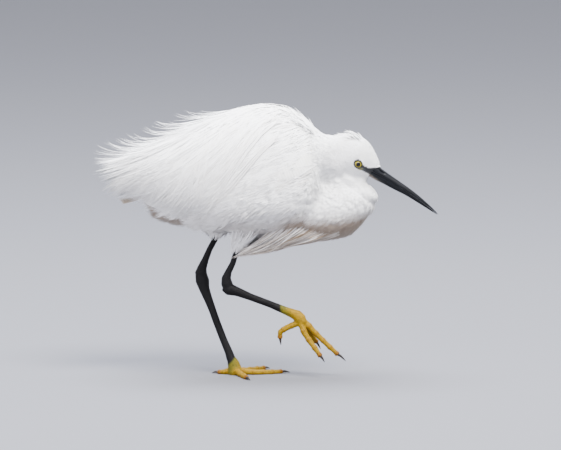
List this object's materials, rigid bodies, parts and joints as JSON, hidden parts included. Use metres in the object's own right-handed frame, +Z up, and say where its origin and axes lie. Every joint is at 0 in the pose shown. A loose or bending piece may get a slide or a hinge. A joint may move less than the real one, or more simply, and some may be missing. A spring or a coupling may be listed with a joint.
{
  "type": "little egret, life-size still model",
  "caption": "Little egret walking on one foot with the other lifted and the neck folded, white with long back and breast plumes, black bill and legs, yellow feet.",
  "frame": {"origin": "under the ball of the standing foot, on the floor", "axes": "+X the way the bird faces, +Y its left, +Z up"},
  "size_m": [0.3817, 0.123, 0.2987],
  "materials": {
    "plumage": "matt white body feathers",
    "long_plumes": "silky white loose-barbed plumes",
    "flight_feathers": "smooth white vanes",
    "bill": "satin black horn",
    "leg_scales": "black scaled skin, half gloss",
    "toe_skin": "yellow scaled skin",
    "claw": "dark horn",
    "eye": "wet gloss, pale yellow iris, black pupil"
  },
  "bodies": {
    "root": {"back_plumes": "long_plumes", "bill_lower": "bill", "bill_upper": "bill", "breast": "plumage", "claw_hind_left": "claw", "claw_hind_right": "claw", "claw_inner_left": "claw", "claw_inner_right": "claw", "claw_middle_left": "claw", "claw_middle_right": "claw", "claw_outer_left": "claw", "claw_outer_right": "claw", "eye_left": "eye", "eye_right": "eye", "foot_left": "toe_skin", "foot_right": "toe_skin", "head": "plumage", "neck": "plumage", "shank_left": "leg_scales", "shank_right": "leg_scales", "tail": "flight_feathers", "tarsus_left": "leg_scales", "tarsus_right": "leg_scales", "thigh_left": "plumage", "thigh_right": "plumage", "toe_hind_left": "toe_skin", "toe_hind_right": "toe_skin", "toe_inner_left": "toe_skin", "toe_inner_right": "toe_skin", "toe_middle_left": "toe_skin", "toe_middle_right": "toe_skin", "toe_outer_left": "toe_skin", "toe_outer_right": "toe_skin", "torso": "plumage", "wing_left": "flight_feathers", "wing_right": "flight_feathers"}
  },
  "joints": []
}
